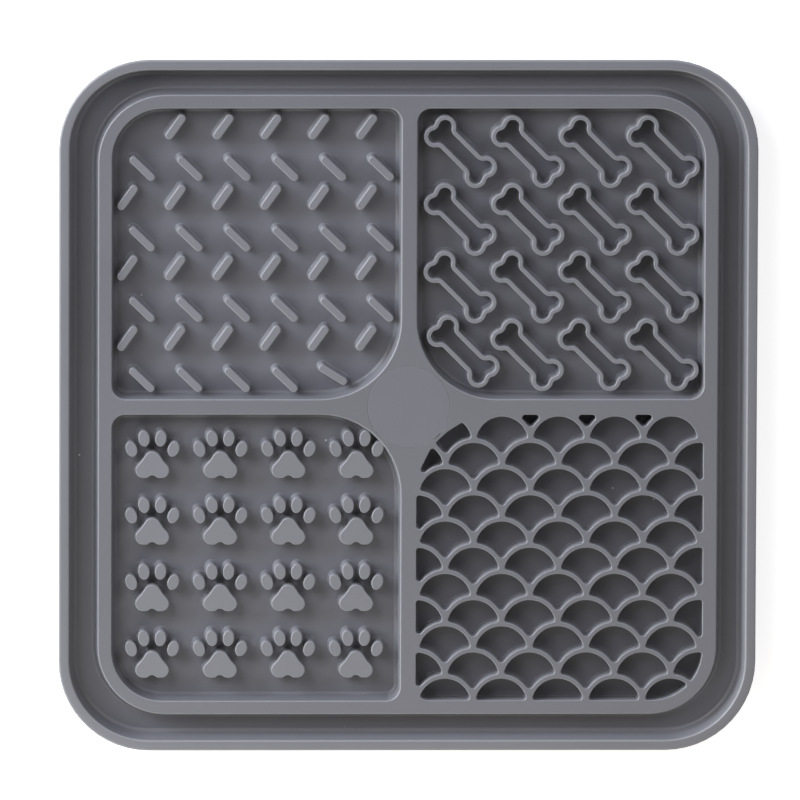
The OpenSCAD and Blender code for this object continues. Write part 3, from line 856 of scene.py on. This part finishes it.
def cell_outline(circles, around, reach):
    """The outline of one hollow: inside the circles with a positive radius, outside the others and
    inside the well, with round corners. Nothing if the hollow is too small."""
    step = reach / search_steps
    grid = range(-search_steps, search_steps + 1)
    inside = [(around[0] + i * step, around[1] + j * step) for i in grid for j in grid
              if allowed((around[0] + i * step, around[1] + j * step), circles)]
    if len(inside) * step * step < smallest_cell:
        return None
    eye = (sum(p[0] for p in inside) / len(inside), sum(p[1] for p in inside) / len(inside))
    if not allowed(eye, circles):
        return None
    # Each edge is its circle with the first and last point that rays from the eye meet on it
    edges = []
    for k in range(search_rays):
        heading = (math.cos(math.tau * k / search_rays), math.sin(math.tau * k / search_rays))
        hits = [(circle_reach(eye, heading, c), c) for c in circles] + [well_side(eye, heading)]
        far, circle = min(hits, key=lambda h: h[0])
        point = (eye[0] + heading[0] * far, eye[1] + heading[1] * far)
        if not edges or edges[-1][0] != circle:
            edges.append([circle, point, point])
        edges[-1][2] = point
    if edges[0][0] == edges[-1][0]:
        edges[0][1] = edges.pop()[1]
    while len(edges) > 1:
        chain = []
        own = []
        for (a, _, end), (b, start, _) in zip(edges, edges[1:] + edges[:1]):
            own.append(len(chain))
            chain.append(a)
            smooth = a not in circles and b not in circles
            if not smooth:
                corner = fillet(a, b, ((end[0] + start[0]) / 2, (end[1] + start[1]) / 2))
                if corner is None:
                    return None
                chain.append(corner)
        outline = belt(chain, cell_turn_step)
        # An edge that is shorter than its two fillets would run backwards, and is left out
        too_short = [i for i, k in enumerate(own) if abs(outline.sweeps[k]) > longest_sweep]
        if not too_short:
            return outline
        edges.pop(too_short[0])
    return None


def scale_cells():
    """Outlines of all hollows: the triangles at the rib, and then the scales row by row."""
    cells = []
    for i in scale_columns:
        left, right = scale_middle(1, i), scale_middle(1, i + 1)
        around = ((left[0] + right[0]) / 2, left[1] + scale_r - rib_triangle_drop)
        cells.append(cell_outline([(*left, -outer_scale_r), (*right, -outer_scale_r)], around,
                                  rib_triangle_reach))
    for row in range(1, scale_rows + 1):
        for i in scale_columns:
            middle = scale_middle(row, i)
            circles = [(*middle, scale_r)]
            if row < scale_rows:
                below = [scale_middle(row + 1, k) for k in scale_columns]
                circles += [(*m, -outer_scale_r) for m in below if abs(m[0] - middle[0]) < scale_pitch_x]
            cells.append(cell_outline(circles, middle, scale_r))
    return [cell for cell in cells if cell]


scale_profile = mirrored(wall_profile(floor_z, wall_top, scale_lean, scale_edge_r, scale_foot_r,
                                      small_edge_steps))
scale_walls = [scales_edge] + [(cell, scale_profile) for cell in scale_cells()]
piece("fish_scales", mesh_of("fish_scales", lambda bm: add_pierced_block(bm, scale_walls)),
      "mat", numbered("scale_row", range(1, scale_rows + 1)), wall_finish)


# Suction cups

cups_low, cups_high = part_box("suction_cups")
cup_h = cups_high.z
seal_r = cup_r - cup_seal_w
hollow_r = (seal_r ** 2 + cup_hollow_h ** 2) / (2 * cup_hollow_h)
hollow_half = math.degrees(math.asin(seal_r / hollow_r))
neck_fillet = (cup_neck_r + cup_fillet_r, cup_h - cup_neck_h + cup_fillet_rise)
cup_profile = (arc_profile((0, cup_hollow_h - hollow_r), hollow_r, 90 - flat_step, 90 - hollow_half,
                           hollow_steps)
               + [(cup_r - cup_lip_t / 4, 0), (cup_r, cup_lip_t / 4), (cup_r, cup_lip_t * 3 / 4),
                  (cup_r - cup_lip_t / 4, cup_lip_t)]
               + arc_profile(neck_fillet, cup_fillet_r, 245, 180, small_edge_steps)
               + [(cup_neck_r, cup_h)])
cup_mesh = mesh_of("suction_cup", lambda bm: add_block(bm, round_outline(cup_sides), cup_profile))
cup_step = [(cups_high[i] - cups_low[i] - 2 * cup_r) / (cups_across - 1) for i in (0, 1)]
cups_mesh = rows_of(
    "suction_cup_rows", cup_mesh, cup_finish, Columns=cups_across, Rows=cups_across,
    First_X=cups_low.x + cup_r, First_Y=cups_high.y - cup_r, Step_X=cup_step[0], Step_Y=-cup_step[1])
cups = piece("suction_cup_rows", cups_mesh, "cups", ["suction_cups"])
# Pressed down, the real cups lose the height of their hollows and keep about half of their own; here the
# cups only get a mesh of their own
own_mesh(cups)


# Floor, light and camera

def white_floor(half, shade, glow_strength):
    """A square floor that glows to the camera and in reflections, so that it looks white there, and
    keeps the mat's shadow."""
    mesh = bpy.data.meshes.new("studio_floor")
    mesh.from_pydata([(-half, -half, 0), (half, -half, 0), (half, half, 0), (-half, half, 0)], [],
                     [(0, 1, 2, 3)])
    floor = bpy.data.objects.new("studio_floor", mesh)
    bpy.context.scene.collection.objects.link(floor)
    material = bpy.data.materials.new("studio_white")
    material.use_nodes = True
    material.node_tree.nodes.clear()
    nodes = Nodes(material.node_tree)
    diffuse = nodes.add("ShaderNodeBsdfDiffuse", {"Color": (shade, shade, shade, 1)})
    rays = nodes.add("ShaderNodeLightPath").outputs
    seen = nodes.math("MAXIMUM", rays["Is Camera Ray"], nodes.math(
        "MAXIMUM", rays["Is Glossy Ray"], rays["Is Transmission Ray"]))
    glow = nodes.add("ShaderNodeEmission", {"Strength": nodes.math("MULTIPLY", seen, glow_strength)})
    both = nodes.add("ShaderNodeAddShader", {0: diffuse.outputs[0], 1: glow.outputs[0]})
    nodes.add("ShaderNodeOutputMaterial", {"Surface": both.outputs[0]})
    mesh.materials.append(material)


def world_light(strength):
    """A faint light from all sides, and white where the camera looks past the floor."""
    world = bpy.data.worlds.new("studio_air")
    bpy.context.scene.world = world
    world.use_nodes = True
    world.node_tree.nodes.clear()
    nodes = Nodes(world.node_tree)
    rays = nodes.add("ShaderNodeLightPath").outputs
    lit = nodes.add("ShaderNodeBackground", {"Color": (0.96, 0.98, 1, 1), "Strength": strength})
    seen = nodes.add("ShaderNodeBackground", {"Color": (1, 1, 1, 1), "Strength": 1.0})
    mixed = nodes.add("ShaderNodeMixShader", {0: rays["Is Camera Ray"], 1: lit.outputs[0],
                                              2: seen.outputs[0]})
    nodes.add("ShaderNodeOutputWorld", {"Surface": mixed.outputs[0]})


def softbox(name, azimuth, elevation, reach, size, energy, colour=(1, 1, 1)):
    """A square lamp that faces the mat from a distance. Angles are in degrees, azimuth from +X towards
    +Y, size is its width in metres, and energy its power in watts."""
    lamp = bpy.data.lights.new(name, "AREA")
    lamp.shape = "SQUARE"
    lamp.size = size
    lamp.energy = energy
    lamp.color = colour
    a, e = math.radians(azimuth), math.radians(elevation)
    towards = Vector((math.cos(e) * math.cos(a), math.cos(e) * math.sin(a), math.sin(e)))
    obj = bpy.data.objects.new(name, lamp)
    obj.location = towards * reach
    obj.rotation_euler = towards.to_track_quat("Z", "Y").to_euler()
    bpy.context.scene.collection.objects.link(obj)


white_floor(half=4, shade=0.9, glow_strength=0.7)
world_light(0.02)

# Large lamps at the left and far sides
softbox("left_far_low", 157, 18, 1.5, 0.8, 21.8, (0.86, 0.93, 1))
softbox("far_left_middle", 135, 32, 1.5, 0.8, 4.3, (0.69, 0.79, 1))
softbox("far_left_high", 135, 50, 1.5, 0.7, 5.6, (1, 0.94, 0.97))
softbox("left_low", 180, 18, 1.5, 0.8, 4.8, (1, 0.84, 0.67))
softbox("far_right_low", 45, 22, 1.5, 0.8, 3.1, (0.71, 0.72, 1))
softbox("far_right_high", 45, 50, 1.5, 0.7, 2.8)

# Small, weak lamps close by, so that the near side is a little brighter
softbox("close_left", 180, 50, 0.45, 0.2, 0.1, (0.85, 1, 1))
softbox("close_near_left_low", 235, 25, 0.45, 0.2, 0.3, (0.89, 0.98, 1))
softbox("close_near_left_high", 235, 50, 0.45, 0.2, 0.15, (1, 0.94, 0.88))
softbox("close_near_low", 270, 25, 0.45, 0.2, 0.11, (1, 0.89, 0.8))
softbox("close_near_high", 270, 50, 0.45, 0.2, 0.14, (1, 0.98, 0.87))
softbox("close_near_right", 315, 40, 0.45, 0.2, 0.1, (1, 0.88, 0.62))

# The camera stands high over the mat's far left, far away, so that walls that face it show
look_at = Vector((-2.26 * MM, 1.54 * MM, wall_top))
back = Vector((-0.027, 0.152, 1)).normalized()
distance = 6
view_w = 229.08 * MM
roll = math.radians(0.206)
side = Vector((0, 1, 0)).cross(back).normalized()
upward = back.cross(side)
camera_data = bpy.data.cameras.new("camera")
camera_data.lens = camera_data.sensor_width * distance / view_w
camera_data.clip_end = 100.0
camera = bpy.data.objects.new("camera", camera_data)
turned = Matrix((side, upward, back)).transposed() @ Matrix.Rotation(roll, 3, "Z")
camera.matrix_world = Matrix.Translation(look_at + back * distance) @ turned.to_4x4()
bpy.context.scene.collection.objects.link(camera)
bpy.context.scene.camera = camera

bpy.context.scene.view_settings.view_transform = "Standard"
